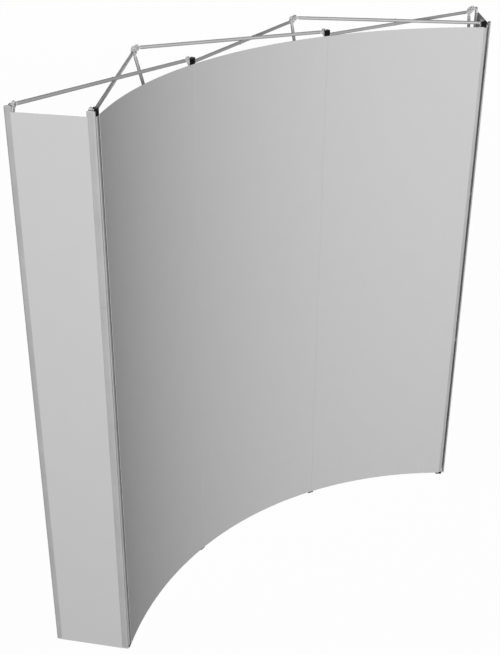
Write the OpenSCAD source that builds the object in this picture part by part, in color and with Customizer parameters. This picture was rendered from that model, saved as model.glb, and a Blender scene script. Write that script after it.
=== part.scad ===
// Curved pop up display backwall: a folding scissor frame of three columns and three rows,
// magnetic bars hooked on its hubs, three curved front panels and two flat end panels.
// Millimetres. +Z is up, the hollow front side faces -Y, and the feet stand on Z = 0.

/* [Frame plan] */
// radius of the front hub pins about the centre of the curve
front_pin_r = 1491; // [1100:1:2000]
// depth of the opened frame, from the front hub pins to the back hub pins
frame_depth = 259; // [200:0.5:340]
// angle that one column takes up, in degrees
column_angle = 26; // [18:0.5:30]

/* [Tubes] */
// outer diameter of every scissor tube
tube_d = 13; // [10:0.5:18]
// wall of the tube
tube_wall = 1.2; // [0.8:0.1:2]
// thickness of the washer between two crossing tubes
washer_t = 0.5; // [0.3:0.1:1]
// diameter of the rivet where two tubes cross
rivet_d = 4; // [3:0.5:5]
// diameter of the rivet heads and of the washer
rivet_head_d = 8; // [6:0.5:10]
// height of a rivet head
rivet_head_h = 1.2; // [0.8:0.1:2]

/* [Tube ends] */
// thickness of the flat eye on a tube end
eye_t = 4; // [3:0.5:5]
// diameter of the eye round its pin
eye_d = 9; // [8:0.5:11]
// distance from the pin to where the tube begins
eye_reach = 10; // [9:0.5:20]
// length of the plug inside the tube
plug_len = 14; // [8:1:25]

/* [Hubs] */
// diameter of the hub pins
pin_d = 3; // [2.5:0.5:4]
// thickness of one cheek of a fork
cheek_t = 3; // [2:0.5:5]
// half width of a fork, seen along its pin
fork_half = 6; // [5:0.5:8]
// width of the hub's eight sided plate, across its flats
plate_w = 26; // [24:1:36]
// thickness of the hub's plate
plate_t = 6; // [4:0.5:8]

/* [Hook pegs] */
// diameter of the neck of a peg
peg_neck_d = 5; // [4:0.5:7]
// diameter of the head of a peg
peg_head_d = 9.6; // [8:0.2:12]
// thickness of the head of a peg
peg_head_t = 2; // [1.5:0.5:3]
// how far a bar is lifted to come off its pegs
bar_lift = 10; // [8:1:14]

/* [Magnetic bars] */
// width of the front bars
front_bar_w = 28; // [26:1:40]
// width of the side bars at the ends of the wall
side_bar_w = 37; // [34:1:46]
// thickness of the front bars
front_bar_t = 9; // [8:0.5:14]
// thickness of the side bars
side_bar_t = 6; // [6:0.5:12]
// wall of the bar extrusion
bar_wall = 1.4; // [1:0.1:2]
// rounding of the bars' outer corners
bar_corner_r = 2.4; // [1:0.2:3]
// length of the rounded nose on a side bar's edge at the corner of the wall
side_nose = 7; // [4:0.5:9]
// how far a side bar reaches past the hub's middle, away from the end panel
side_bar_out = 20.5; // [16:0.5:24]
// bar left below the mouth of its lowest keyhole
keyhole_edge = 0.7; // [0.5:0.1:2]
// height of the joint between two bar lengths above the hub below it
bar_joint_rise = 60; // [45:1:120]
// length of the joiner inside two bar lengths
joiner_len = 56; // [30:1:80]
// thickness of the magnetic tape on a bar
tape_t = 1; // [0.8:0.1:2]
// width of the magnetic tape
tape_w = 11; // [8:1:14]

/* [Panels] */
// thickness of a graphic panel
panel_t = 1.2; // [0.8:0.1:3]
// height of the panels' lower edge above the floor
panel_bottom = 10; // [4:1:20]
// how far the panels' upper edge lies below the top hubs' middle
panel_drop = 5; // [0:1:15]
// distance from the end panel's edges to the middle of the hubs
end_panel_inset = 3; // [1:0.5:14]
// thickness of the magnetic strip on a panel's back
strip_t = 1.2; // [0.8:0.1:2]
// distance from a panel's edge to its strip
strip_inset = 1; // [0.5:0.5:3]

/* [Feet] */
// thickness of the rubber pad under a bottom hub
foot_t = 8; // [3:0.5:12]
// length of the pad along the wall
foot_w = 26; // [20:1:40]
// depth of the pad from front to back
foot_depth = 18; // [12:1:30]

/* [Clearances] */
// gap between a bar and the hub plate or bracket behind it
seat_gap = 0.3; // [0.2:0.1:0.6]
// gap between a bar's tape and a panel's strip
magnet_gap = 0.3; // [0.2:0.1:0.6]
// gap at each side of an eye in its fork
fork_gap = 0.2; // [0.1:0.1:0.4]
// play of a pin or rivet in a turning hole, on the radius
running_gap = 0.05; // [0.02:0.01:0.1]
// play of a joiner or plug in a bar, at each side
plug_gap = 0.2; // [0.1:0.1:0.4]
// least room between the ends of two neighbouring pins, or two neighbouring eyes, of a hub
pin_room = 0.05; // [0.05:0.05:0.5]
// half of the open seam between two front panels
seam_half = 0.2; // [0.2:0.1:1]

/* [Hidden] */
$fn = 32;
columns = 3; // fixed, as is the number of rows: every line of hubs has nodes of its own
rows = 3;
last_line = columns + 1;
LINES = [1 : last_line];
overlap = 0.01; // makes cuts pass clean through and joined shapes meet

// small steps that keep neighbouring faces apart
neck_step = 0.3; // from an eye's or a tube's outline in to the plastic beside it
fork_rim = 0.2; // a fork's rounded end past its flat sides
head_play = 0.3; // between a bar's back wall and a peg's head
slot_play = 0.2; // at each side of a peg's neck in its keyhole
mouth_play = 0.4; // round a peg's head in the keyhole's mouth

// forks: their tubes lie half a tube and half a washer off the hub's middle, and their pins
// stand so far out that neither the pins nor the eyes of two neighbouring forks meet
tube_offset = (tube_d + washer_t) / 2;
slot_t = eye_t + 2 * fork_gap;
fork_t = slot_t + 2 * cheek_t;
pin_reach = tube_offset + pin_room
    + max(fork_t / 2 + pin_d / 2, eye_t / 2 + eye_d / 2 + fork_gap);

// scissor geometry, seen from above in the frame of one column
half_angle = column_angle / 2;
back_pin_r = front_pin_r + frame_depth;
level_run = (front_pin_r + back_pin_r) * sin(half_angle) - 2 * pin_reach * cos(half_angle);
level_rise = frame_depth * cos(half_angle);
tube_len = sqrt(level_run * level_run + level_rise * level_rise);
level_turn = atan2(level_rise, level_run);
level_half_run = front_pin_r * sin(half_angle) - pin_reach * cos(half_angle);
level_cross = level_half_run * tube_len / level_run;
level_start_y = front_pin_r * cos(half_angle) + pin_reach * sin(half_angle);
level_cross_y = level_start_y + level_cross * sin(level_turn);

// the upright tubes are the same length, and that sets the height of a row
row_run = sqrt(tube_len * tube_len - frame_depth * frame_depth);
row_h = row_run + 2 * pin_reach;
upright_tilt = asin(frame_depth / tube_len);

// hubs
fork_end_r = fork_half + fork_rim;
hub_reach = pin_reach + fork_end_r;
plate_face = fork_half + plate_t;
eye_neck_w = eye_d - 2 * neck_step;
collar_t = 2;
slot_start = pin_reach - eye_d / 2 - fork_gap;
slot_floor = eye_d / 2 + fork_gap;
foot_rise = foot_t + fork_gap;
hub_z0 = foot_rise + hub_reach;
hub_z = [for (k = [0 : rows]) hub_z0 + k * row_h];
top_z = hub_z[rows];

// pegs: the neck passes the bar's back wall, and the head lies inside the bar
peg_neck_len = seat_gap + bar_wall + head_play;
peg_root = 1;
keyhole_neck_w = peg_neck_d + 2 * slot_play;
keyhole_head_d = peg_head_d + 2 * mouth_play;

// front bars, panels: radial places measured from the front hub pins, towards the front
front_bar_back = plate_face + seat_gap;
front_bar_face = front_bar_back + front_bar_t;
tape_face = front_bar_face + tape_t;
strip_face = tape_face + magnet_gap;
panel_back = strip_face + strip_t;
panel_face = panel_back + panel_t;
panel_r = front_pin_r - panel_face;
panel_top = top_z - panel_drop;

// bar lengths and their fittings
bar_joint_gap = 0.4;
joint_z = [for (k = [1 : rows - 1]) hub_z[k] + bar_joint_rise];
bar_bottom = hub_z0 - bar_lift - keyhole_head_d / 2 - keyhole_edge;
bar_foot_plug = 8;
front_foot_rise = 1;
front_foot_h = bar_bottom - front_foot_rise;
side_foot_h = 5;
tape_end_gap = 6;

// hook blocks on the front bars
hook_w = 22;
hook_low = 8;
hook_lip_t = 2.4;
hook_high = plate_w / 2 + seat_gap + hook_lip_t;
hook_tip_t = 2.4;
hook_tip_drop = 6;
hook_side_gap = 1.5;
hook_plug = 20;
front_bar_top = top_z - hook_low;

// side bars and the brackets that carry them
bracket_plate_t = 1.6;
bracket_w = 20;
bracket_face = hub_reach + fork_gap + bracket_plate_t;
side_bar_back = bracket_face + seat_gap;
side_bar_face = side_bar_back + side_bar_t;
side_bar_rise = 10;
side_bar_top = top_z + side_bar_rise;
side_cap_h = 4;
side_cap_edge = 1;
side_cap_plug = side_bar_rise - peg_head_d / 2 - mouth_play;
side_nose_t = side_bar_t - 2;
end_panel_back = side_bar_face + tape_t + magnet_gap + strip_t;
side_bar_in = side_bar_w - side_bar_out;
side_bar_shift = (side_bar_in - side_bar_out) / 2;

// outlines of bars: width, thickness, and the length and depth of the rounding at each edge
small_corner = [bar_corner_r, bar_corner_r];
front_shape = [front_bar_w, front_bar_t, small_corner, small_corner];
hook_shape = [hook_w, front_bar_t, small_corner, small_corner];
inner_corner = 0.3; // least rounding inside a bar
arc_step = 30;

// middle of the floor plan, between the pegs of the back hubs and the noses of the front side bars
plan_back = (back_pin_r + plate_face + peg_neck_len + peg_head_t) * cos(half_angle)
    + peg_head_d / 2 * sin(half_angle);
nose_turn = 2 * arc_step;
plan_front = (front_pin_r - side_bar_out + side_nose * (1 - sin(nose_turn)))
    * cos(columns * half_angle)
    - (side_bar_face - side_nose_t * (1 - cos(nose_turn))) * sin(columns * half_angle);
plan_middle = (plan_back + plan_front) / 2;

nylon_grey = [0.80, 0.81, 0.82];
nylon_black = [0.05, 0.05, 0.06];
aluminium = [0.70, 0.71, 0.73];
steel = [0.55, 0.56, 0.58];
tape_dark = [0.12, 0.12, 0.13];
panel_white = [0.86, 0.86, 0.87];
rubber = [0.06, 0.06, 0.06];

// ---------- places ----------

// the frame of one hub line: X along the curve, Y outwards, origin at radius r
module at_line(line, r, z = 0) {
    translate([0, -plan_middle, 0])
        rotate([0, 0, -(line - (columns + 2) / 2) * column_angle])
            translate([0, r, z]) children();
}

// the frame of one column, with its origin at the centre of the curve
module at_column(column) {
    at_line(column + 0.5, 0) children();
}

// a front hub, or a back hub, which is the same moulding turned to face the other way
module at_front_hub(line, z) {
    at_line(line, front_pin_r, z) children();
}

module at_back_hub(line, z) {
    at_line(line, back_pin_r, z) rotate([0, 0, 180]) children();
}

// ---------- hubs ----------

// one fork pointing along +X, its pin along Z
module fork_body() {
    translate([0, -fork_half, -fork_t / 2]) cube([pin_reach, 2 * fork_half, fork_t]);
    translate([pin_reach, 0, -fork_t / 2]) cylinder(r = fork_end_r, h = fork_t);
}

module fork_cuts() {
    translate([slot_start, -slot_floor, -slot_t / 2])
        cube([hub_reach, hub_reach, slot_t]);
    translate([pin_reach, 0, -fork_t / 2 - overlap])
        cylinder(d = pin_d, h = fork_t + 2 * overlap);
}

// the four forks of a hub: right and left for the level tubes, up and down for the uprights;
// each lies half a tube and half a washer off the middle, so that the tubes pass each other
module in_right_fork() {
    translate([0, 0, -tube_offset]) children();
}

module in_left_fork() {
    translate([0, 0, tube_offset]) rotate([0, 180, 0]) children();
}

module in_up_fork() {
    translate([-tube_offset, 0, 0]) rotate([0, -90, 0]) children();
}

module in_down_fork() {
    translate([tube_offset, 0, 0]) rotate([0, 90, 0]) children();
}

module in_all_forks() {
    in_right_fork() children();
    in_left_fork() children();
    in_up_fork() children();
    in_down_fork() children();
}

// a peg that points along -Y from the plane Y = 0
module peg() {
    rotate([90, 0, 0]) {
        translate([0, 0, -peg_root])
            cylinder(d = peg_neck_d, h = peg_root + peg_neck_len + overlap);
        translate([0, 0, peg_neck_len]) cylinder(d = peg_head_d, h = peg_head_t);
    }
}

module hub() {
    flat_turn = 360 / 8 / 2;
    translate([0, -plate_face, 0]) peg();
    difference() {
        union() {
            translate([0, -fork_half, 0]) rotate([90, flat_turn, 0])
                cylinder(d = plate_w / cos(flat_turn), h = plate_t, $fn = 8);
            in_all_forks() fork_body();
        }
        in_all_forks() fork_cuts();
    }
}

module front_hubs(line) {
    color(nylon_grey) for (z = hub_z) at_front_hub(line, z) hub();
}

module back_hubs(line) {
    color(nylon_grey) for (z = hub_z) at_back_hub(line, z) hub();
}

// ---------- scissor tubes ----------

// a tube along +X between two pins, drilled along Z for its rivet
module scissor_tube(cross_at) {
    difference() {
        translate([eye_reach, 0, 0]) rotate([0, 90, 0])
            cylinder(d = tube_d, h = tube_len - 2 * eye_reach);
        translate([eye_reach - overlap, 0, 0]) rotate([0, 90, 0])
            cylinder(d = tube_d - 2 * tube_wall, h = tube_len);
        translate([cross_at, 0, -tube_d])
            cylinder(r = rivet_d / 2 + running_gap, h = 2 * tube_d);
    }
}

// the moulded end of a tube: an eye on the pin, a flat neck and a plug in the tube
module tube_end() {
    difference() {
        union() {
            translate([0, 0, -eye_t / 2]) cylinder(d = eye_d, h = eye_t);
            translate([0, -eye_neck_w / 2, -eye_t / 2])
                cube([eye_reach + plug_len / 2, eye_neck_w, eye_t]);
            translate([eye_reach - collar_t, 0, 0]) rotate([0, 90, 0])
                cylinder(d = tube_d - 2 * neck_step, h = collar_t);
            translate([eye_reach - overlap, 0, 0]) rotate([0, 90, 0])
                cylinder(d = tube_d - 2 * tube_wall, h = plug_len);
        }
        translate([0, 0, -eye_t])
            cylinder(r = pin_d / 2 + running_gap, h = 2 * eye_t);
    }
}

module both_ends() {
    children();
    translate([tube_len, 0, 0]) rotate([0, 0, 180]) children();
}

// the two tubes of a level crossing: the lower one leaves the left front hub
module on_level_pair(column, z) {
    at_column(column) {
        translate([-level_half_run, level_start_y, z - tube_offset])
            rotate([0, 0, level_turn]) children();
        translate([level_half_run, level_start_y, z + tube_offset])
            rotate([0, 0, 180 - level_turn]) children();
    }
}

// the two tubes of an upright crossing, in the plane of a hub line, below level z
module on_upright_pair(line, z) {
    at_line(line, front_pin_r, z - pin_reach)
        translate([tube_offset, 0, 0]) rotate([upright_tilt, 0, 0]) rotate([0, 90, 0]) children();
    at_line(line, back_pin_r, z - pin_reach)
        translate([-tube_offset, 0, 0]) rotate([-upright_tilt, 0, 0]) rotate([0, 90, 0]) children();
}

module level_tubes(z) {
    color(aluminium) for (column = [1 : columns]) on_level_pair(column, z) scissor_tube(level_cross);
}

module upright_tubes(line) {
    color(aluminium) for (k = [1 : rows]) on_upright_pair(line, hub_z[k]) scissor_tube(tube_len / 2);
}

module level_tube_ends() {
    color(nylon_grey) for (z = hub_z) for (column = [1 : columns])
        on_level_pair(column, z) both_ends() tube_end();
}

module upright_tube_ends() {
    color(nylon_grey) for (line = LINES) for (k = [1 : rows])
        on_upright_pair(line, hub_z[k]) both_ends() tube_end();
}

// ---------- rivets, washers and pins ----------

// every crossing, with the rivet's axis along Z and its middle between the two tubes
module on_crossings() {
    for (z = hub_z) for (column = [1 : columns])
        at_column(column) translate([0, level_cross_y, z]) children();
    for (line = LINES) for (k = [1 : rows])
        at_line(line, front_pin_r + frame_depth / 2, hub_z[k] - row_h / 2)
            rotate([0, 90, 0]) children();
}

module crossing_rivets() {
    rivet_half = tube_d + washer_t / 2;
    color(steel) on_crossings() {
        translate([0, 0, -rivet_half]) cylinder(d = rivet_d, h = 2 * rivet_half);
        for (side = [-1, 1]) translate([0, 0, side * (rivet_half + rivet_head_h / 2)])
            cylinder(d = rivet_head_d, h = rivet_head_h + 2 * overlap, center = true);
    }
}

module crossing_washers() {
    color(nylon_black) on_crossings() difference() {
        cylinder(d = rivet_head_d, h = washer_t, center = true);
        cylinder(r = rivet_d / 2 + running_gap, h = 2, center = true);
    }
}

// one pin in every fork that holds a tube, a bracket or a foot
module hub_pin() {
    translate([pin_reach, 0, -fork_t / 2]) cylinder(d = pin_d, h = fork_t);
}

module pins_of_hub(level) {
    in_right_fork() hub_pin();
    in_left_fork() hub_pin();
    in_down_fork() hub_pin();
    if (level < rows) in_up_fork() hub_pin();
}

module hub_pins() {
    color(steel) for (line = LINES) for (level = [0 : rows]) {
        at_front_hub(line, hub_z[level]) pins_of_hub(level);
        at_back_hub(line, hub_z[level]) pins_of_hub(level);
    }
}

// ---------- corner brackets and feet ----------

// a blade pinned in a fork that points along +X
module fork_blade() {
    difference() {
        union() {
            translate([pin_reach, 0, -eye_t / 2]) cylinder(d = eye_d, h = eye_t);
            translate([pin_reach, -eye_neck_w / 2, -eye_t / 2])
                cube([hub_reach + fork_gap - pin_reach + overlap, eye_neck_w, eye_t]);
        }
        translate([pin_reach, 0, -eye_t]) cylinder(d = pin_d, h = 2 * eye_t);
    }
}

// the bracket in the outer fork of an end hub, with the peg for its side bar;
// the fork lies off the hub's middle height, and the peg comes back to it
module corner_bracket() {
    fork_blade();
    translate([0, 0, tube_offset]) {
        translate([hub_reach + fork_gap, -bracket_w / 2, -bracket_w / 2])
            cube([bracket_plate_t, bracket_w, bracket_w]);
        translate([bracket_face, 0, 0]) rotate([0, 0, 90]) peg();
    }
}

// seen from behind its plate, a back hub has its right fork on the wall's left
module corner_brackets() {
    color(nylon_grey) for (z = hub_z) {
        at_front_hub(1, z) in_left_fork() corner_bracket();
        at_back_hub(1, z) in_right_fork() corner_bracket();
        at_front_hub(last_line, z) in_right_fork() corner_bracket();
        at_back_hub(last_line, z) in_left_fork() corner_bracket();
    }
}

// a rubber pad on a blade in the lowest fork, which points down
module foot() {
    in_down_fork() fork_blade();
    translate([tube_offset - foot_w / 2, -foot_depth / 2, -hub_z0])
        cube([foot_w, foot_depth, foot_t]);
}

module feet() {
    color(rubber) for (line = LINES) {
        at_front_hub(line, hub_z0) foot();
        at_back_hub(line, hub_z0) foot();
    }
}

// ---------- magnetic bars ----------

// outline of a bar, wide along X, from Y = 0 at its back to its face at -Y, or of a space or a
// plug inside it when drawn with an inset
module bar_outline(shape, inset = 0) {
    half_w = shape[0] / 2 - inset;
    t = shape[1] - 2 * inset;
    low = [for (r = shape[2]) max(r - inset, inner_corner)];
    high = [for (r = shape[3]) max(r - inset, inner_corner)];
    translate([0, -inset]) polygon(concat(
        [[-half_w, 0]],
        [for (a = [180 : arc_step : 270])
            [-half_w + low[0] * (1 + cos(a)), -t + low[1] * (1 + sin(a))]],
        [for (a = [270 : arc_step : 360])
            [half_w - high[0] * (1 - cos(a)), -t + high[1] * (1 + sin(a))]],
        [[half_w, 0]]
    ));
}

// one length of hollow bar from low to high, with keyholes for the pegs at the heights given
module bar_length(shape, low, high, peg_x, peg_heights) {
    difference() {
        translate([0, 0, low]) linear_extrude(high - low) difference() {
            bar_outline(shape);
            bar_outline(shape, bar_wall);
        }
        for (z = peg_heights)
            if (z > low && z - bar_lift < high) translate([peg_x, 0, z]) keyhole();
    }
}

// the hole that drops over a peg: a round mouth below a narrow slot
module keyhole() {
    cut_t = 2 * bar_wall;
    rotate([90, 0, 0]) translate([0, 0, -cut_t / 4]) {
        cylinder(d = keyhole_neck_w, h = cut_t);
        translate([0, -bar_lift, 0]) cylinder(d = keyhole_head_d, h = cut_t);
        translate([-keyhole_neck_w / 2 + overlap, -bar_lift, 0])
            cube([keyhole_neck_w - 2 * overlap, bar_lift, cut_t]);
    }
}

// the three lengths of one bar line
module bar_line(shape, top, peg_x) {
    ends = concat([bar_bottom], joint_z, [top]);
    for (k = [0 : rows - 1])
        bar_length(shape, ends[k] + (k > 0 ? bar_joint_gap : 0), ends[k + 1], peg_x, hub_z);
}

// a plug that slides into the hollow of a bar
module bar_plug(shape, low, high) {
    translate([0, 0, low]) linear_extrude(high - low) bar_outline(shape, bar_wall + plug_gap);
}

// a plug that is open in the middle for the head of a peg
module split_plug(shape, low, high, peg_x) {
    channel_w = peg_head_d + 2 * plug_gap;
    difference() {
        bar_plug(shape, low, high);
        translate([peg_x - channel_w / 2, -shape[1], low - overlap])
            cube([channel_w, shape[1], high - low + 2 * overlap]);
    }
}

module bar_joiners(shape) {
    for (z = joint_z) bar_plug(shape, z - joiner_len / 2, z + joiner_len / 2);
}

// the plug that closes a bar's lower end
module bar_foot(shape, foot_h, peg_x) {
    translate([0, 0, bar_bottom - foot_h]) linear_extrude(foot_h) bar_outline(shape);
    split_plug(shape, bar_bottom - overlap, bar_bottom + bar_foot_plug, peg_x);
}

// places a front bar's own frame: its back on Y = 0, behind the panels
module at_front_bar(line) {
    at_line(line, front_pin_r - front_bar_back) children();
}

module front_bar(line) {
    color(aluminium) at_front_bar(line) bar_line(front_shape, front_bar_top, 0);
}

// the black block on top of a front bar, whose lip hooks over the top hub's plate and whose
// pocket takes the top hub's peg, with the joiners and the foot of that bar
module front_bar_fittings(line) {
    lip_back = front_bar_back - fork_half + seat_gap + hook_tip_t;
    tip_low = plate_w / 2 - hook_tip_drop;
    lip_low = plate_w / 2 + seat_gap;
    lip_len = hook_w / 2 - hook_side_gap;
    color(nylon_black) at_front_bar(line) {
        difference() {
            translate([0, 0, front_bar_top]) linear_extrude(hook_low + hook_high)
                bar_outline(hook_shape);
            translate([-keyhole_head_d / 2, -peg_neck_len - peg_head_t - seat_gap,
                       front_bar_top - overlap])
                cube([keyhole_head_d, front_bar_t, hook_low + keyhole_head_d / 2 + overlap]);
        }
        translate([hook_side_gap, -overlap, top_z + lip_low])
            cube([lip_len, lip_back, hook_lip_t]);
        translate([hook_side_gap, lip_back - hook_tip_t, top_z + tip_low])
            cube([lip_len, hook_tip_t, hook_high - tip_low]);
        split_plug(front_shape, front_bar_top - hook_plug, front_bar_top + overlap, 0);
        bar_joiners(front_shape);
        bar_foot(front_shape, front_foot_h, 0);
    }
}

// a strip of tape on a bar's face, beside the seam at X = 0
module bar_tape(t, x_low, low, high) {
    translate([x_low, -t - tape_t, low]) cube([tape_w, tape_t, high - low]);
}

module front_bar_tape(line) {
    color(tape_dark) at_front_bar(line) {
        if (line > 1) bar_tape(front_bar_t, -strip_inset - tape_w,
                               bar_bottom + tape_end_gap, front_bar_top - tape_end_gap);
        if (line < last_line) bar_tape(front_bar_t, strip_inset,
                               bar_bottom + tape_end_gap, front_bar_top - tape_end_gap);
    }
}

// a side bar's own frame: its back on Y = 0, its middle on X = 0, facing out of the wall's end
module at_side_bar(side, at_back) {
    line = side < 0 ? 1 : last_line;
    r = at_back ? back_pin_r - side_bar_shift : front_pin_r + side_bar_shift;
    at_line(line, r) translate([side * side_bar_back, 0, 0]) rotate([0, 0, side * 90]) children();
}

// across a side bar, +1 or -1 is the way from its middle to the end panel
function inward(side, at_back) = (at_back ? -1 : 1) * side;

// the nose is on the edge away from the end panel
function side_shape(side, at_back) = inward(side, at_back) > 0
    ? [side_bar_w, side_bar_t, [side_nose, side_nose_t], small_corner]
    : [side_bar_w, side_bar_t, small_corner, [side_nose, side_nose_t]];

// the pegs lie across the bar on the hub pins' line
function side_peg_x(side, at_back) = -inward(side, at_back) * side_bar_shift;

module side_bar(side, at_back) {
    color(aluminium) at_side_bar(side, at_back)
        bar_line(side_shape(side, at_back), side_bar_top, side_peg_x(side, at_back));
}

// the domed cap on a side bar, with the joiners and the foot of that bar
module side_bar_fittings(side, at_back) {
    shape = side_shape(side, at_back);
    dome_h = side_cap_h - side_cap_edge;
    dome_r = (side_bar_w * side_bar_w / 4 + dome_h * dome_h) / (2 * dome_h);
    color(nylon_grey) at_side_bar(side, at_back) {
        intersection() {
            translate([0, overlap, side_bar_top + side_cap_h - dome_r]) rotate([90, 0, 0])
                cylinder(r = dome_r, h = side_bar_t + 2 * overlap, $fn = 96);
            translate([0, 0, side_bar_top]) linear_extrude(2 * side_cap_h) bar_outline(shape);
        }
        bar_plug(shape, side_bar_top - side_cap_plug, side_bar_top + overlap);
        bar_joiners(shape);
        bar_foot(shape, side_foot_h, side_peg_x(side, at_back));
    }
}

module side_bar_tape(side, at_back) {
    middle = inward(side, at_back) * (side_bar_w / 2 - strip_inset - tape_w / 2);
    color(tape_dark) at_side_bar(side, at_back)
        bar_tape(side_bar_t, middle - tape_w / 2,
                 bar_bottom + tape_end_gap, panel_top - tape_end_gap);
}

// ---------- panels ----------

function arc_angle(length) = length / panel_r * 180 / PI;

// a curved sheet about the centre of the curve, from one angle to another off the column's middle
module curved_sheet(r, t, from_angle, to_angle, low, high) {
    rotate([0, 0, 90 - to_angle])
        rotate_extrude(angle = to_angle - from_angle, $fn = 720)
            translate([r, low]) square([t, high - low]);
}

module front_panel(column) {
    edge = half_angle - arc_angle(seam_half);
    color(panel_white) at_column(column)
        curved_sheet(panel_r, panel_t, -edge, edge, panel_bottom, panel_top);
}

module front_strips(column) {
    outer = half_angle - arc_angle(strip_inset);
    inner = half_angle - arc_angle(strip_inset + tape_w);
    color(tape_dark) at_column(column) {
        curved_sheet(panel_r + panel_t, strip_t, -outer, -inner,
                     panel_bottom + tape_end_gap, panel_top - tape_end_gap);
        curved_sheet(panel_r + panel_t, strip_t, inner, outer,
                     panel_bottom + tape_end_gap, panel_top - tape_end_gap);
    }
}

// an end panel's own frame: X from the wall's middle out through the panel
module at_end(side) {
    at_line(side < 0 ? 1 : last_line, front_pin_r) rotate([0, 0, side < 0 ? 180 : 0])
        children();
}

module end_slab(side, x_low, t, y_low, y_high, low, high) {
    y_from = side < 0 ? -y_high : y_low;
    at_end(side) translate([x_low, y_from, low]) cube([t, y_high - y_low, high - low]);
}

module end_panel(side) {
    color(panel_white) end_slab(side, end_panel_back, panel_t, end_panel_inset,
                                frame_depth - end_panel_inset, panel_bottom, panel_top);
}

module end_strips(side) {
    front_low = side_bar_in - strip_inset - tape_w;
    back_low = frame_depth - side_bar_in + strip_inset;
    color(tape_dark) for (y_low = [front_low, back_low])
        end_slab(side, end_panel_back - strip_t, strip_t, y_low, y_low + tape_w,
                 panel_bottom + tape_end_gap, panel_top - tape_end_gap);
}

// ---------- drawing ----------

front_hubs(1);  // front_hubs_line_1
front_hubs(2);  // front_hubs_line_2
front_hubs(3);  // front_hubs_line_3
front_hubs(4);  // front_hubs_line_4
back_hubs(1);  // back_hubs_line_1
back_hubs(2);  // back_hubs_line_2
back_hubs(3);  // back_hubs_line_3
back_hubs(4);  // back_hubs_line_4
level_tubes(hub_z[0]);  // level_tubes_bottom
level_tubes(hub_z[1]);  // level_tubes_low
level_tubes(hub_z[2]);  // level_tubes_high
level_tubes(hub_z[3]);  // level_tubes_top
upright_tubes(1);  // upright_tubes_line_1
upright_tubes(2);  // upright_tubes_line_2
upright_tubes(3);  // upright_tubes_line_3
upright_tubes(4);  // upright_tubes_line_4
level_tube_ends();
upright_tube_ends();
crossing_rivets();
crossing_washers();
hub_pins();
corner_brackets();
feet();
front_bar(1);  // front_bar_line_1
front_bar(2);  // front_bar_line_2
front_bar(3);  // front_bar_line_3
front_bar(4);  // front_bar_line_4
front_bar_fittings(1);  // front_bar_fittings_line_1
front_bar_fittings(2);  // front_bar_fittings_line_2
front_bar_fittings(3);  // front_bar_fittings_line_3
front_bar_fittings(4);  // front_bar_fittings_line_4
front_bar_tape(1);  // front_bar_tape_line_1
front_bar_tape(2);  // front_bar_tape_line_2
front_bar_tape(3);  // front_bar_tape_line_3
front_bar_tape(4);  // front_bar_tape_line_4
side_bar(-1, false);  // side_bar_front_left
side_bar(-1, true);  // side_bar_back_left
side_bar(1, false);  // side_bar_front_right
side_bar(1, true);  // side_bar_back_right
side_bar_fittings(-1, false);  // side_bar_fittings_front_left
side_bar_fittings(-1, true);  // side_bar_fittings_back_left
side_bar_fittings(1, false);  // side_bar_fittings_front_right
side_bar_fittings(1, true);  // side_bar_fittings_back_right
side_bar_tape(-1, false);  // side_bar_tape_front_left
side_bar_tape(-1, true);  // side_bar_tape_back_left
side_bar_tape(1, false);  // side_bar_tape_front_right
side_bar_tape(1, true);  // side_bar_tape_back_right
front_panel(1);  // front_panel_left
front_panel(2);  // front_panel_middle
front_panel(3);  // front_panel_right
end_panel(-1);  // end_panel_left
end_panel(1);  // end_panel_right
front_strips(1);  // front_strips_left
front_strips(2);  // front_strips_middle
front_strips(3);  // front_strips_right
end_strips(-1);  // end_strips_left
end_strips(1);  // end_strips_right
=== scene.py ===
import math

import bmesh
import bpy
from mathutils import Matrix, Vector


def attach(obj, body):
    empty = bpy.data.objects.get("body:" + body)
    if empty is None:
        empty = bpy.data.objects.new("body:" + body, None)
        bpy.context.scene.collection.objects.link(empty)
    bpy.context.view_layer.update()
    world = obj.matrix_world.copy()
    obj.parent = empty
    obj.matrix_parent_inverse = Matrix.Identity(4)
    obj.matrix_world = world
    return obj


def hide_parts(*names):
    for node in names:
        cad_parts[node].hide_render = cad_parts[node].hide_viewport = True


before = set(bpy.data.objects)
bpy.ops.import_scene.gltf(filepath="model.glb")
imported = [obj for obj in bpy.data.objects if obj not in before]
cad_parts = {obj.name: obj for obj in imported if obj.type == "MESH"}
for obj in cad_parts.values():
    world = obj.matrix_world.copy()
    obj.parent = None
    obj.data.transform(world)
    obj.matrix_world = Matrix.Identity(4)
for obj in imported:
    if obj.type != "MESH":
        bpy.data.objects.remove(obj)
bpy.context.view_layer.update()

# ---------------------------------------------------------------- camera
# The photograph is taken from the wall's left front, well above it, with a
# slightly long lens, so that the open back of the frame shows over the top edge.
camera_data = bpy.data.cameras.new("camera")
camera_data.sensor_width = 36
camera_data.lens = 61.45
camera_data.clip_end = 200  # metres, past the backdrop floor's edge
camera = bpy.data.objects.new("camera", camera_data)
bpy.context.scene.collection.objects.link(camera)
CAMERA_AT = (-2.73377, -3.16996, 3.26136)  # metres
YAW, PITCH, ROLL = 40.0776, -28.1319, 0.2939  # degrees
camera.matrix_world = (
    Matrix.Translation(CAMERA_AT)
    @ Matrix.Rotation(math.radians(-YAW), 4, "Z")
    @ Matrix.Rotation(math.radians(90 + PITCH), 4, "X")
    @ Matrix.Rotation(math.radians(ROLL), 4, "Z")
)
bpy.context.scene.camera = camera

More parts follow.
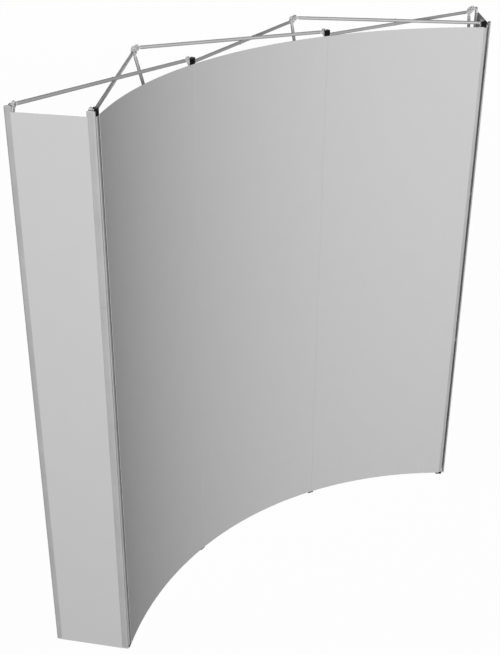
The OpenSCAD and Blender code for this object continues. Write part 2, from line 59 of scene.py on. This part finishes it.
# ---------------------------------------------------------------- floor and light
# A white studio. The floor and the backdrop are white to the camera, show faintly in
# gloss and send little light back. The main lamp stands far off at the left front, and
# two weaker ones light the frame from behind and the right end.
bpy.context.scene.view_settings.view_transform = "Standard"
GLOSS_SEES = 0.2  # share of the white that shows in gloss
ROOM = 0.08  # light that comes from all around
FLOOR_SENDS, FLOOR_SEEN = 0.08, 0.80  # the floor's tone for the light it sends and as seen
FLOOR_GLOW = 0.975  # how much of the seen floor is plain white; the rest takes shadows


def seen_white(nodes, links):
    """1 for the camera and clear parts, GLOSS_SEES for gloss, 0 for the light sent back"""
    path = nodes.new("ShaderNodeLightPath")
    direct = nodes.new("ShaderNodeMath")
    direct.operation = "MAXIMUM"
    links.new(path.outputs["Is Camera Ray"], direct.inputs[0])
    links.new(path.outputs["Is Transmission Ray"], direct.inputs[1])
    gloss = nodes.new("ShaderNodeMath")
    gloss.operation = "MULTIPLY"
    gloss.inputs[1].default_value = GLOSS_SEES
    links.new(path.outputs["Is Glossy Ray"], gloss.inputs[0])
    both = nodes.new("ShaderNodeMath")
    both.operation = "MAXIMUM"
    links.new(direct.outputs[0], both.inputs[0])
    links.new(gloss.outputs[0], both.inputs[1])
    return both.outputs[0]


world = bpy.data.worlds.new("studio")
world.use_nodes = True
bpy.context.scene.world = world
nodes, links = world.node_tree.nodes, world.node_tree.links
nodes.clear()
room = nodes.new("ShaderNodeBackground")
room.inputs["Strength"].default_value = ROOM
room.inputs["Color"].default_value = (1.0, 1.0, 1.0, 1)
backdrop = nodes.new("ShaderNodeBackground")
backdrop.inputs["Strength"].default_value = 1.0
backdrop.inputs["Color"].default_value = (1.0, 1.0, 1.0, 1)
choose = nodes.new("ShaderNodeMixShader")
links.new(seen_white(nodes, links), choose.inputs[0])
links.new(room.outputs[0], choose.inputs[1])
links.new(backdrop.outputs[0], choose.inputs[2])
links.new(choose.outputs[0], nodes.new("ShaderNodeOutputWorld").inputs[0])

bm = bmesh.new()
bmesh.ops.create_grid(bm, x_segments=1, y_segments=1, size=40)  # metres each way
floor_mesh = bpy.data.meshes.new("floor")
bm.to_mesh(floor_mesh)
bm.free()
floor = bpy.data.objects.new("floor", floor_mesh)
bpy.context.scene.collection.objects.link(floor)
sweep = bpy.data.materials.new("white_sweep")
sweep.use_nodes = True
nodes, links = sweep.node_tree.nodes, sweep.node_tree.links
nodes.clear()
seen = seen_white(nodes, links)
tone = nodes.new("ShaderNodeMath")
tone.operation = "MULTIPLY_ADD"
tone.inputs[1].default_value = FLOOR_SEEN - FLOOR_SENDS
tone.inputs[2].default_value = FLOOR_SENDS
links.new(seen, tone.inputs[0])
paint = nodes.new("ShaderNodeBsdfDiffuse")
links.new(tone.outputs[0], paint.inputs["Color"])
white = nodes.new("ShaderNodeEmission")
white.inputs["Strength"].default_value = 1.0
amount = nodes.new("ShaderNodeMath")
amount.operation = "MULTIPLY"
amount.inputs[1].default_value = FLOOR_GLOW
links.new(seen, amount.inputs[0])
mix = nodes.new("ShaderNodeMixShader")
links.new(amount.outputs[0], mix.inputs[0])
links.new(paint.outputs[0], mix.inputs[1])
links.new(white.outputs[0], mix.inputs[2])
links.new(mix.outputs[0], nodes.new("ShaderNodeOutputMaterial").inputs[0])
floor.data.materials.append(sweep)

# name, place and aim in metres, metres across, watts; the main lamp is aimed high, so
# that its light falls off gently towards the floor as in the photograph
LAMPS = (("front_lamp", (-11.2, -16.6, 6.4), (3.5, 0.0, 20.0), 6.0, 5290),
         ("back_lamp", (9.7, 14.1, 2.6), (0.0, 0.0, 3.0), 6.0, 1200),
         ("side_lamp", (13.0, 4.0, 1.1), (0.0, 0.0, 1.1), 2.0, 380))
for name, place, aim, across, watts in LAMPS:
    lamp_data = bpy.data.lights.new(name, "AREA")
    lamp_data.shape = "DISK"
    lamp_data.size = across
    lamp_data.energy = watts
    lamp = bpy.data.objects.new(name, lamp_data)
    bpy.context.scene.collection.objects.link(lamp)
    lamp.location = place
    lamp.rotation_euler = (Vector(aim) - lamp.location).to_track_quat("-Z", "Y").to_euler()

# ---------------------------------------------------------------- hubs
# Thirty-two grey nylon mouldings, all alike: an eight sided plate with a hook peg on
# its face and four forks behind it. The mould leaves eased edges and a fine grain.
MM = 0.001  # the shapes below are given in millimetres
LINES = (1, 2, 3, 4)  # the upright lines of hubs, from the left
LINE_STEP = 26  # degrees between two lines
CENTRE_Y = -1424.5514  # the middle of the wall's curve
FRONT_R, DEPTH = 1491.0, 259.0
BACK_R = FRONT_R + DEPTH
HUB_HEIGHTS = (27.9, 755.2391, 1482.5782, 2209.9173)
PIN_REACH, TUBE_SIDE = 13.5, 6.75  # from a hub's middle to its pins: along a fork, and aside
CRISP, ROUNDED = 0.7, 0.55  # radians between faces: an edge that is eased, one left smooth


def move(x=0.0, y=0.0, z=0.0):
    return Matrix.Translation((x * MM, y * MM, z * MM))


def turn(degrees, axis):
    return Matrix.Rotation(math.radians(degrees), 4, axis)


def on_line(line, r, z=0.0):
    """a place on one line of hubs: X along the curve, Y away from its centre"""
    return move(y=CENTRE_Y) @ turn((2.5 - line) * LINE_STEP, "Z") @ move(0, r, z)


def on_hub(line, z, side):
    """the middle of a hub; a back hub is the same moulding turned to face the other way"""
    if side == "front":
        return on_line(line, FRONT_R, z)
    return on_line(line, BACK_R, z) @ turn(180, "Z")


RIGHT = move(0, 0, -TUBE_SIDE)
LEFT = move(0, 0, TUBE_SIDE) @ turn(180, "Y")
UP = move(-TUBE_SIDE, 0, 0) @ turn(-90, "Y")
DOWN = move(TUBE_SIDE, 0, 0) @ turn(90, "Y")


def shade(bm):
    """smooth over round parts, crisp along edges"""
    for face in bm.faces:
        face.smooth = True
    for edge in bm.edges:
        edge.smooth = len(edge.link_faces) == 2 and edge.calc_face_angle() < ROUNDED


def round_off(bm, edges, r, steps=1):
    bmesh.ops.bevel(bm, geom=edges, offset=r * MM, segments=steps, affect="EDGES",
                    profile=0.5, material=-1)


def ease_rims(bm, r):
    """takes the sharpness off every edge where two faces meet at a clear angle"""
    round_off(bm, [e for e in bm.edges
                   if len(e.link_faces) == 2 and e.calc_face_angle() > CRISP], r)


def template(bm):
    """a finished shape, kept as a mesh that can be set down many times"""
    bmesh.ops.recalc_face_normals(bm, faces=bm.faces[:])
    shade(bm)
    mesh = bpy.data.meshes.new("shape")
    bm.to_mesh(mesh)
    bm.free()
    return mesh


def oblong(long, wide):
    """the corners of a rectangle about its middle"""
    x, y = long / 2, wide / 2
    return [(-x, -y), (x, -y), (x, y), (-x, y)]


def slab(corners, thick, ease, rounds=()):
    """a flat moulding: corners in X and Y, extruded along Z about its middle; rounds gives
    the upright edges that are rounded, as (test of the place, radius, steps), and ease the
    width taken off the rims"""
    bm = bmesh.new()
    face = bm.faces.new([bm.verts.new((x * MM, y * MM, -thick / 2 * MM)) for x, y in corners])
    top = bmesh.ops.extrude_face_region(bm, geom=[face])
    lifted = [v for v in top["geom"] if isinstance(v, bmesh.types.BMVert)]
    bmesh.ops.translate(bm, vec=(0, 0, thick * MM), verts=lifted)
    bmesh.ops.recalc_face_normals(bm, faces=bm.faces[:])
    for chosen, r, steps in rounds:
        upright = [e for e in bm.edges
                   if abs(e.verts[0].co.z - e.verts[1].co.z) > thick * MM * 0.9
                   and chosen(e.verts[0].co / MM)]
        round_off(bm, upright, r, steps)
    if ease:
        ease_rims(bm, ease)
    return template(bm)


def turned(outline, steps, closed=False):
    """a round part: an outline of radius and height, spun about Z"""
    bm = bmesh.new()
    points = [bm.verts.new((r * MM, 0, z * MM)) for r, z in outline]
    pairs = list(zip(points, points[1:])) + ([(points[-1], points[0])] if closed else [])
    lines = [bm.edges.new(pair) for pair in pairs]
    bmesh.ops.spin(bm, geom=points + lines, cent=(0, 0, 0), axis=(0, 0, 1),
                   angle=2 * math.pi, steps=steps, use_merge=True, use_duplicate=False)
    bmesh.ops.remove_doubles(bm, verts=bm.verts[:], dist=0.01 * MM)
    return template(bm)


def assembled(*parts):
    """one shape out of several, each given with its place"""
    bm = bmesh.new()
    for mesh, place in parts:
        copy = mesh.copy()
        copy.transform(place)
        if place.is_negative:
            copy.flip_normals()
        bm.from_mesh(copy)
        bpy.data.meshes.remove(copy)
    mesh = bpy.data.meshes.new("shape")
    bm.to_mesh(mesh)
    bm.free()
    return mesh


def piece(name, mesh, material, body, node):
    """a finished piece that rides on a body and stands for one CAD node"""
    mesh.name = name
    mesh.materials.clear()
    mesh.materials.append(material)
    made = bpy.data.objects.new(name, mesh)
    bpy.context.scene.collection.objects.link(made)
    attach(made, body)
    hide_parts(node)


def plastic(name, colour, roughness, grain=900, depth=0.08, mottle=0.04, shine=0.5):
    """moulded plastic: a fine grain in the surface and a slight unevenness in the colour"""
    material = bpy.data.materials.new(name)
    material.use_nodes = True
    nodes, links = material.node_tree.nodes, material.node_tree.links
    shader = nodes["Principled BSDF"]
    shader.inputs["Roughness"].default_value = roughness
    shader.inputs["Specular IOR Level"].default_value = shine
    place = nodes.new("ShaderNodeTexCoord")
    patches = nodes.new("ShaderNodeTexNoise")
    patches.inputs["Scale"].default_value = 14
    patches.inputs["Detail"].default_value = 4
    links.new(place.outputs["Object"], patches.inputs["Vector"])
    shades = nodes.new("ShaderNodeValToRGB")
    shades.color_ramp.elements[0].position = 0.35
    shades.color_ramp.elements[0].color = (*[c * (1 - mottle) for c in colour], 1)
    shades.color_ramp.elements[1].position = 0.65
    shades.color_ramp.elements[1].color = (*[min(1, c * (1 + mottle)) for c in colour], 1)
    links.new(patches.outputs["Fac"], shades.inputs["Fac"])
    links.new(shades.outputs["Color"], shader.inputs["Base Color"])
    fine = nodes.new("ShaderNodeTexNoise")
    fine.inputs["Scale"].default_value = grain
    fine.inputs["Detail"].default_value = 3
    links.new(place.outputs["Object"], fine.inputs["Vector"])
    relief = nodes.new("ShaderNodeBump")
    relief.inputs["Strength"].default_value = depth
    relief.inputs["Distance"].default_value = 0.0004
    links.new(fine.outputs["Fac"], relief.inputs["Height"])
    links.new(relief.outputs["Normal"], shader.inputs["Normal"])
    return material


def dress(material, *names):
    """gives a CAD node its real finish"""
    for name in names:
        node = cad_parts[name]
        if not node.material_slots:
            node.data.materials.append(material)
        for slot in node.material_slots:
            slot.material = material


grey_nylon = plastic("grey_nylon", (0.57, 0.57, 0.57), 0.55, shine=0.3)
# a fork along +X, a U seen from the side, with round ends to its two prongs
FORK_ROOT, SLOT_FLOOR, FORK_TIP, FORK_WIDE = -3, 8.8, 19.5, 12.0
PRONG_OUT, PRONG_IN = 5.1, 2.2
u_shape = ((FORK_ROOT, -PRONG_OUT), (FORK_TIP, -PRONG_OUT), (FORK_TIP, -PRONG_IN),
           (SLOT_FLOOR, -PRONG_IN), (SLOT_FLOOR, PRONG_IN), (FORK_TIP, PRONG_IN),
           (FORK_TIP, PRONG_OUT), (FORK_ROOT, PRONG_OUT))
bm = bmesh.new()
face = bm.faces.new([bm.verts.new((x * MM, -FORK_WIDE / 2 * MM, z * MM)) for x, z in u_shape])
deep = bmesh.ops.extrude_face_region(bm, geom=[face])["geom"]
bmesh.ops.translate(bm, vec=(0, FORK_WIDE * MM, 0), verts=[v for v in deep if hasattr(v, "co")])
bmesh.ops.recalc_face_normals(bm, faces=bm.faces[:])
tips = [e for e in bm.edges if min(v.co.x for v in e.verts) > (FORK_TIP - 0.5) * MM
        and abs(e.verts[0].co.z - e.verts[1].co.z) > MM]
round_off(bm, tips, FORK_WIDE / 2 - 0.1, 5)
ease_rims(bm, 0.3)
fork = template(bm)

# the eight sided plate, 26 mm over its flats, and the peg that the bars hook on
PLATE_R, PLATE_T, PLATE_Y = 14.07, 6, -9
bm = bmesh.new()
bmesh.ops.create_cone(bm, cap_ends=True, segments=8, radius1=PLATE_R * MM,
                      radius2=PLATE_R * MM, depth=PLATE_T * MM)
bmesh.ops.rotate(bm, cent=(0, 0, 0), matrix=Matrix.Rotation(math.pi / 8, 3, "Z"),
                 verts=bm.verts[:])
round_off(bm, bm.edges[:], 0.9, 2)
plate = template(bm)
NECK_R, HEAD_R = 2.5, 4.8
peg = turned([(0, -0.5), (NECK_R, -0.5), (NECK_R, 2), (HEAD_R - 0.2, 2), (HEAD_R, 2.2),
              (HEAD_R, 3.5), (HEAD_R - 0.5, 4), (0, 4)], 24)
hub = assembled((plate, move(y=PLATE_Y) @ turn(90, "X")),
                (peg, move(y=PLATE_Y - PLATE_T / 2) @ turn(90, "X")),
                (fork, RIGHT), (fork, LEFT), (fork, UP), (fork, DOWN))
for side in ("front", "back"):
    for line in LINES:
        node = f"{side}_hubs_line_{line}"
        mesh = assembled(*((hub, on_hub(line, z, side)) for z in HUB_HEIGHTS))
        piece(f"{node}_moulded", mesh, grey_nylon, "frame", node)

# ---------------------------------------------------------------- scissor tubes
# Forty-eight thin aluminium tubes of one length, satin anodised, crossing in pairs.
# The die leaves fine lines along each tube.
HALF = math.radians(LINE_STEP / 2)
RUN = (FRONT_R + BACK_R) * math.sin(HALF) - 2 * PIN_REACH * math.cos(HALF)
RISE = DEPTH * math.cos(HALF)
TUBE_LEN = math.hypot(RUN, RISE)
LEVEL_TURN = math.degrees(math.atan2(RISE, RUN))
START_X = FRONT_R * math.sin(HALF) - PIN_REACH * math.cos(HALF)
START_Y = FRONT_R * math.cos(HALF) + PIN_REACH * math.sin(HALF)
TILT = math.degrees(math.asin(DEPTH / TUBE_LEN))
LEVELS = ("bottom", "low", "high", "top")


def level_pair(column, z):
    """where the two tubes of a level crossing begin, each along its own X"""
    middle = on_line(column + 0.5, 0, z)
    return (middle @ move(-START_X, START_Y, -TUBE_SIDE) @ turn(LEVEL_TURN, "Z"),
            middle @ move(START_X, START_Y, TUBE_SIDE) @ turn(180 - LEVEL_TURN, "Z"))


def upright_pair(line, z):
    """where the two tubes of an upright crossing begin, below the hubs at height z"""
    return (on_line(line, FRONT_R, z - PIN_REACH) @ move(TUBE_SIDE) @ turn(TILT, "X")
            @ turn(90, "Y"),
            on_line(line, BACK_R, z - PIN_REACH) @ move(-TUBE_SIDE) @ turn(-TILT, "X")
            @ turn(90, "Y"))


def metal(name, colour, roughness, metallic, attribute=None):
    """drawn metal: fine lines in gloss and relief, a faint cloudiness in the colour; the
    milky film of satin anodising scatters light, so it is less than fully metallic"""
    material = bpy.data.materials.new(name)
    material.use_nodes = True
    nodes, links = material.node_tree.nodes, material.node_tree.links
    shader = nodes["Principled BSDF"]
    shader.inputs["Metallic"].default_value = metallic
    shader.inputs["Specular IOR Level"].default_value = 0.3
    place = nodes.new("ShaderNodeTexCoord")
    stretch = nodes.new("ShaderNodeMapping")
    stretch.inputs["Scale"].default_value = (1, 1, 0.01)
    if attribute:
        own = nodes.new("ShaderNodeAttribute")
        own.attribute_name = attribute
        links.new(own.outputs["Vector"], stretch.inputs["Vector"])
    else:
        links.new(place.outputs["Object"], stretch.inputs["Vector"])
    streaks = nodes.new("ShaderNodeTexNoise")
    streaks.inputs["Scale"].default_value = 1400
    streaks.inputs["Detail"].default_value = 3
    links.new(stretch.outputs["Vector"], streaks.inputs["Vector"])
    gloss = nodes.new("ShaderNodeMapRange")
    gloss.inputs["To Min"].default_value = roughness - 0.06
    gloss.inputs["To Max"].default_value = roughness + 0.08
    links.new(streaks.outputs["Fac"], gloss.inputs["Value"])
    links.new(gloss.outputs["Result"], shader.inputs["Roughness"])
    clouds = nodes.new("ShaderNodeTexNoise")
    clouds.inputs["Scale"].default_value = 9
    clouds.inputs["Detail"].default_value = 3
    links.new(place.outputs["Object"], clouds.inputs["Vector"])
    shades = nodes.new("ShaderNodeValToRGB")
    shades.color_ramp.elements[0].position = 0.3
    shades.color_ramp.elements[0].color = (*[c * 0.94 for c in colour], 1)
    shades.color_ramp.elements[1].position = 0.7
    shades.color_ramp.elements[1].color = (*[min(1, c * 1.05) for c in colour], 1)
    links.new(clouds.outputs["Fac"], shades.inputs["Fac"])
    links.new(shades.outputs["Color"], shader.inputs["Base Color"])
    relief = nodes.new("ShaderNodeBump")
    relief.inputs["Strength"].default_value = 0.06
    relief.inputs["Distance"].default_value = 0.0002
    links.new(streaks.outputs["Fac"], relief.inputs["Height"])
    links.new(relief.outputs["Normal"], shader.inputs["Normal"])
    return material


tube_aluminium = metal("tube_aluminium", (0.52, 0.52, 0.52), 0.68, 0.6, attribute="drawn")
TUBE_R, BORE_R, EYE_REACH = 6.5, 5.3, 10  # the tube stops an eye's reach short of each pin
tube = turned([(TUBE_R, EYE_REACH + 0.2), (TUBE_R, TUBE_LEN - EYE_REACH - 0.2),
               (TUBE_R - 0.2, TUBE_LEN - EYE_REACH), (BORE_R, TUBE_LEN - EYE_REACH),
               (BORE_R, EYE_REACH), (TUBE_R - 0.2, EYE_REACH)], 24, closed=True)
drawn = tube.attributes.new("drawn", "FLOAT_VECTOR", "POINT")
drawn.data.foreach_set("vector", [c for v in tube.vertices for c in v.co])
tube.transform(turn(90, "Y"))
for level, z in zip(LEVELS, HUB_HEIGHTS):
    mesh = assembled(*((tube, place) for column in (1, 2, 3) for place in level_pair(column, z)))
    piece(f"level_tubes_{level}_drawn", mesh, tube_aluminium, "frame", f"level_tubes_{level}")
for line in LINES:
    mesh = assembled(*((tube, place) for z in HUB_HEIGHTS[1:] for place in upright_pair(line, z)))
    piece(f"upright_tubes_line_{line}_drawn", mesh, tube_aluminium, "frame",
          f"upright_tubes_line_{line}")

# ---------------------------------------------------------------- tube ends
# A grey nylon end is pressed into each end of a tube: a flat eye on the hub's pin, a
# short neck and a round collar against the tube.
EYE_TIP, EYE_HALF, EYE_T = 4.4, 4.2, 4.0  # the eye past its pin, to each side, and through


def eye_bar(tip, end):
    """a flat bar along X with one round end, as on an eye"""
    return slab([(end, EYE_HALF), (tip, EYE_HALF), (tip, -EYE_HALF), (end, -EYE_HALF)],
                EYE_T, 0.3, [(lambda at: at.x < tip + 1, EYE_HALF - 0.1, 4)])


eye = eye_bar(-EYE_TIP, EYE_REACH)
COLLAR_R, COLLAR_FROM = 6.2, 8
collar = turned([(0, COLLAR_FROM), (COLLAR_R - 0.3, COLLAR_FROM), (COLLAR_R, COLLAR_FROM + 0.3),
                 (COLLAR_R, EYE_REACH), (0, EYE_REACH)], 24)
tube_end = assembled((eye, move()), (collar, turn(90, "Y")))
BOTH_ENDS = (move(), move(TUBE_LEN) @ turn(180, "Z"))
level_places = [place @ end for z in HUB_HEIGHTS for column in (1, 2, 3)
                for place in level_pair(column, z) for end in BOTH_ENDS]
upright_places = [place @ end for z in HUB_HEIGHTS[1:] for line in LINES
                  for place in upright_pair(line, z) for end in BOTH_ENDS]
for kind, places in (("level", level_places), ("upright", upright_places)):
    mesh = assembled(*((tube_end, place) for place in places))
    piece(f"{kind}_tube_ends_moulded", mesh, grey_nylon, "frame", f"{kind}_tube_ends")

# ---------------------------------------------------------------- rivets and pins
# A steel rivet with a low round head joins two tubes where they cross, and a plain
# steel pin is pressed through every fork.
steel = metal("turned_steel", (0.45, 0.45, 0.45), 0.34, 1.0)
SHANK_R, GRIP = 2, 13.2  # the rivet's shank, and half the height between its heads
head = [(4.0, 13.25), (3.6, 13.85), (2.2, 14.3), (0, 14.45)]
rivet = turned([(r, -z) for r, z in reversed(head)] + [(SHANK_R, -GRIP), (SHANK_R, GRIP)]
               + head, 20)
CROSS_Y = START_Y + START_X * TUBE_LEN / RUN * math.sin(math.radians(LEVEL_TURN))
crossings = [on_line(column + 0.5, CROSS_Y, z) for z in HUB_HEIGHTS for column in (1, 2, 3)]
crossings += [on_line(line, FRONT_R + DEPTH / 2, (low + high) / 2) @ turn(90, "Y")
              for line in LINES for low, high in zip(HUB_HEIGHTS, HUB_HEIGHTS[1:])]
piece("rivets_turned", assembled(*((rivet, place) for place in crossings)), steel, "frame",
      "crossing_rivets")
PIN_R, PIN_HALF = 1.5, 5.2
pin = turned([(0, -PIN_HALF), (PIN_R - 0.3, -PIN_HALF), (PIN_R, 0.2 - PIN_HALF),
              (PIN_R, PIN_HALF - 0.2), (PIN_R - 0.3, PIN_HALF), (0, PIN_HALF)], 12)
TOP_WAYS = (RIGHT, LEFT, DOWN)  # nothing is pinned above a top hub
pin_places = [on_hub(line, z, side) @ way @ move(PIN_REACH)
              for line in LINES for z in HUB_HEIGHTS for side in ("front", "back")
              for way in (TOP_WAYS if z == HUB_HEIGHTS[-1] else TOP_WAYS + (UP,))]
piece("pins_turned", assembled(*((pin, place) for place in pin_places)), steel, "frame",
      "hub_pins")
black_nylon = plastic("black_nylon", (0.006, 0.006, 0.006), 0.6, shine=0.1)
dress(black_nylon, "crossing_washers")

# ---------------------------------------------------------------- corner brackets
# A small grey nylon plate on a blade, pinned in the outer fork of every end hub. Its
# peg carries the side bar.
BLADE_END = 20
blade = eye_bar(PIN_REACH - EYE_TIP, BLADE_END)
SEAT_T, SEAT_X = 1.6, 20.7  # the seat's thickness, and where its middle lies
seat = slab(oblong(20, 20), SEAT_T, 0.3, [(lambda at: True, 2, 3)])
bracket = assembled((blade, move()), (seat, move(SEAT_X, 0, TUBE_SIDE) @ turn(90, "Y")),
                    (peg, move(SEAT_X + SEAT_T / 2, 0, TUBE_SIDE) @ turn(90, "Y")))
ends = ((1, "front", LEFT), (1, "back", RIGHT), (4, "front", RIGHT), (4, "back", LEFT))
mesh = assembled(*((bracket, on_hub(line, z, side) @ way)
                   for line, side, way in ends for z in HUB_HEIGHTS))
piece("corner_brackets_moulded", mesh, grey_nylon, "frame", "corner_brackets")

# ---------------------------------------------------------------- feet
# A black rubber pad on a blade, pinned in the lowest fork of each bottom hub. The
# eight pads carry the wall, and their lower faces lie on the floor.
rubber = plastic("foot_rubber", (0.022, 0.022, 0.022), 0.75)
PAD_T = 8.0
pad = slab(oblong(26, 18), PAD_T, 0.8, [(lambda at: True, 3, 3)])
foot = assembled((pad, move(TUBE_SIDE, 0, PAD_T / 2 - HUB_HEIGHTS[0])), (blade, DOWN))
mesh = assembled(*((foot, on_hub(line, HUB_HEIGHTS[0], side))
                   for line in LINES for side in ("front", "back")))
piece("feet_moulded", mesh, rubber, "frame", "feet")

# ---------------------------------------------------------------- magnetic bars
# Extruded aluminium bars in three lengths each, hooked on pegs: one line at every
# panel edge and two at each end of the wall. A side bar's top is milled back behind the
# end panel, so that only its nose, with rounded corners, stands above the panel.


def merged(node):
    """a copy of a CAD piece with its triangles joined up, smooth over its rounded edges"""
    bm = bmesh.new()
    bm.from_mesh(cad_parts[node].data)
    bmesh.ops.remove_doubles(bm, verts=bm.verts[:], dist=0.01 * MM)
    return template(bm)


def cut_away(mesh, *tools):
    """a piece with what the tools reach taken out of it"""
    for tool in tools:
        cutter = bpy.data.objects.new("cutter", tool)
        stock = bpy.data.objects.new("stock", mesh)
        for made in (cutter, stock):
            bpy.context.scene.collection.objects.link(made)
        cut = stock.modifiers.new("cut", "BOOLEAN")
        cut.operation = "DIFFERENCE"
        cut.solver = "EXACT"
        cut.object = cutter
        ready = bpy.context.evaluated_depsgraph_get()
        mesh = bpy.data.meshes.new_from_object(stock.evaluated_get(ready))
        for made in (cutter, stock):
            bpy.data.objects.remove(made)
    bm = bmesh.new()
    bm.from_mesh(mesh)
    bmesh.ops.remove_doubles(bm, verts=bm.verts[:], dist=0.01 * MM)
    shade(bm)
    bm.to_mesh(mesh)
    bm.free()
    return mesh


bar_aluminium = metal("bar_aluminium", (0.50, 0.50, 0.50), 0.6, 0.15)
for line in LINES:
    node = f"front_bar_line_{line}"
    piece(f"{node}_extruded", merged(node), bar_aluminium, f"front_bar_{line}", node)
# corner of the wall, line, radius, which end of the wall, which way the end panel lies
SIDE_BARS = (("front_left", 1, FRONT_R, -1, 1), ("back_left", 1, BACK_R, -1, -1),
             ("front_right", 4, FRONT_R, 1, 1), ("back_right", 4, BACK_R, 1, -1))
NOSE, MILLED = -20.5, 6.2  # a side bar's free edge and its milled edge, from the hub's middle
MILLED_FROM, CAP_TOP, CORNER = 2199.5, 2223.9, 7.0  # heights, and the radius of the corners
BAR_MID = 25  # from the hub's middle out to the middle of the bar's thickness
OVER, PAST, CLEAR = 2, 0.5, 0.05  # how far the corner tools reach beyond the bar's edges
MILL_T, CORNER_T = 8, 12  # the tools' thickness, more than what they cut through


def corner_tool(y, way):
    """takes a top corner of a side bar off to a round, at the edge y on its broad face"""
    outside, edge = y - way * OVER, y - way * CLEAR
    far, low = y + way * (CORNER + PAST), CAP_TOP - CORNER - PAST
    return slab([(outside, CAP_TOP + OVER), (far, CAP_TOP + OVER), (far, CAP_TOP + CLEAR),
                 (edge, CAP_TOP + CLEAR), (edge, low), (outside, low)], CORNER_T, 0,
                [(lambda at: abs(at.x - y) < 0.1 and abs(at.y - CAP_TOP) < 0.1, CORNER, 6)])


def shaped_top(mesh, line, r, side, way):
    """a side bar or its fittings, milled back behind the end panel and rounded at the top;
    X runs out of the wall's end and Y from the hub's middle towards the panel"""
    place = (on_line(line, r) @ Matrix.Diagonal((side, way, 1, 1)) @ move(BAR_MID)
             @ turn(90, "Z") @ turn(90, "X"))
    beyond, above = 25, 2240  # past the bar's other edge and its top
    milled = slab([(MILLED, MILLED_FROM), (beyond, MILLED_FROM), (beyond, above),
                   (MILLED, above)], MILL_T, 0)
    tools = (milled, corner_tool(NOSE, 1), corner_tool(MILLED, -1))
    return cut_away(mesh, *(assembled((tool, place)) for tool in tools))


for corner, line, r, side, way in SIDE_BARS:
    node = f"side_bar_{corner}"
    piece(f"{node}_extruded", shaped_top(merged(node), line, r, side, way), bar_aluminium,
          f"{corner}_side_bar", node)

# ---------------------------------------------------------------- bar fittings
# Black nylon hook blocks, joiners and feet in the front bars, and grey nylon domed
# caps, joiners and feet in the side bars. All are pushed into the bars, and a cheek of
# the cap closes the milled side of its bar.
for line in LINES:
    node = f"front_bar_fittings_line_{line}"
    piece(f"{node}_moulded", merged(node), black_nylon, f"front_bar_{line}", node)
CHEEK_TALL, CHEEK_T, HOLLOW = 23.0, 1.2, 3  # the cheek fills the hollow of the bar
CHEEK_X, CHEEK_Y, CHEEK_Z = 23.3, MILLED - 1.25, MILLED_FROM + 12
cheek = slab([(0, 0), (HOLLOW, 0), (HOLLOW, CHEEK_T), (0, CHEEK_T)], CHEEK_TALL, 0)
for corner, line, r, side, way in SIDE_BARS:
    node = f"side_bar_fittings_{corner}"
    place = on_line(line, r) @ Matrix.Diagonal((side, way, 1, 1))
    closed = assembled((cheek, place @ move(CHEEK_X, CHEEK_Y, CHEEK_Z)))
    mesh = assembled((shaped_top(merged(node), line, r, side, way), move()),
                     (shaped_top(closed, line, r, side, way), move()))
    piece(f"{node}_moulded", mesh, grey_nylon, f"{corner}_side_bar", node)

# ---------------------------------------------------------------- magnetic tape and strips
# Matt black flexible magnet: tape glued to the bars' faces, and strips glued to the
# backs of the panels.
magnet = plastic("magnetic_tape", (0.045, 0.045, 0.045), 0.6, grain=400, depth=0.15)
dress(magnet, *(f"front_bar_tape_line_{line}" for line in LINES),
      *(f"side_bar_tape_{bar[0]}" for bar in SIDE_BARS),
      "front_strips_left", "front_strips_middle", "front_strips_right",
      "end_strips_left", "end_strips_right")

# ---------------------------------------------------------------- front panels
# Three plain light grey printed sheets with a matt laminate, 1.2 mm thick, sprung to
# the curve of the bars and held there by their magnetic strips.
panel_sheet = plastic("panel_sheet", (0.62, 0.62, 0.62), 0.7, grain=1500, depth=0.05,
                      mottle=0.004, shine=0.3)
LOW, HIGH = 10.0, HUB_HEIGHTS[-1] - 5  # heights of the sheets' edges
PANEL_T, SEAM = 1.2, 0.4
INNER = 1466.0  # radius of the side that shows
centre = on_line(2.5, 0).translation
for place, name in ((-1, "left"), (0, "middle"), (1, "right")):
    bm = bmesh.new()
    half = HALF - SEAM / 2 / INNER
    start = 2 * HALF * place - half
    ring = [bm.verts.new(centre + Vector((r * math.sin(start), r * math.cos(start), z)) * MM)
            for r, z in ((INNER, LOW), (INNER + PANEL_T, LOW), (INNER + PANEL_T, HIGH),
                         (INNER, HIGH))]
    bmesh.ops.spin(bm, geom=[bm.faces.new(ring)], cent=centre, axis=(0, 0, -1),
                   angle=2 * half, steps=40, use_duplicate=False)
    bmesh.ops.recalc_face_normals(bm, faces=bm.faces[:])
    ease_rims(bm, 0.15)
    piece(f"front_sheet_{name}", template(bm), panel_sheet, f"{name}_front_panel",
          f"front_panel_{name}")

# ---------------------------------------------------------------- end panels
# Two flat sheets of the same material close the ends of the wall from front to back.
# Their magnetic strips hold them on the tape of the side bars.
END_OUT = 30.9  # from the end hubs' middles out to the middle of the sheet's thickness
END_WIDE = 253.0
for name, line, flip in (("left", 1, 180), ("right", 4, 0)):
    side = -1 if flip else 1
    sheet = slab(oblong(HIGH - LOW, END_WIDE), PANEL_T, 0.15)
    sheet.transform(on_line(line, FRONT_R) @ turn(flip, "Z")
                    @ move(END_OUT, side * DEPTH / 2, (LOW + HIGH) / 2) @ turn(90, "Y"))
    piece(f"end_sheet_{name}", sheet, panel_sheet, f"{name}_end_panel", f"end_panel_{name}")
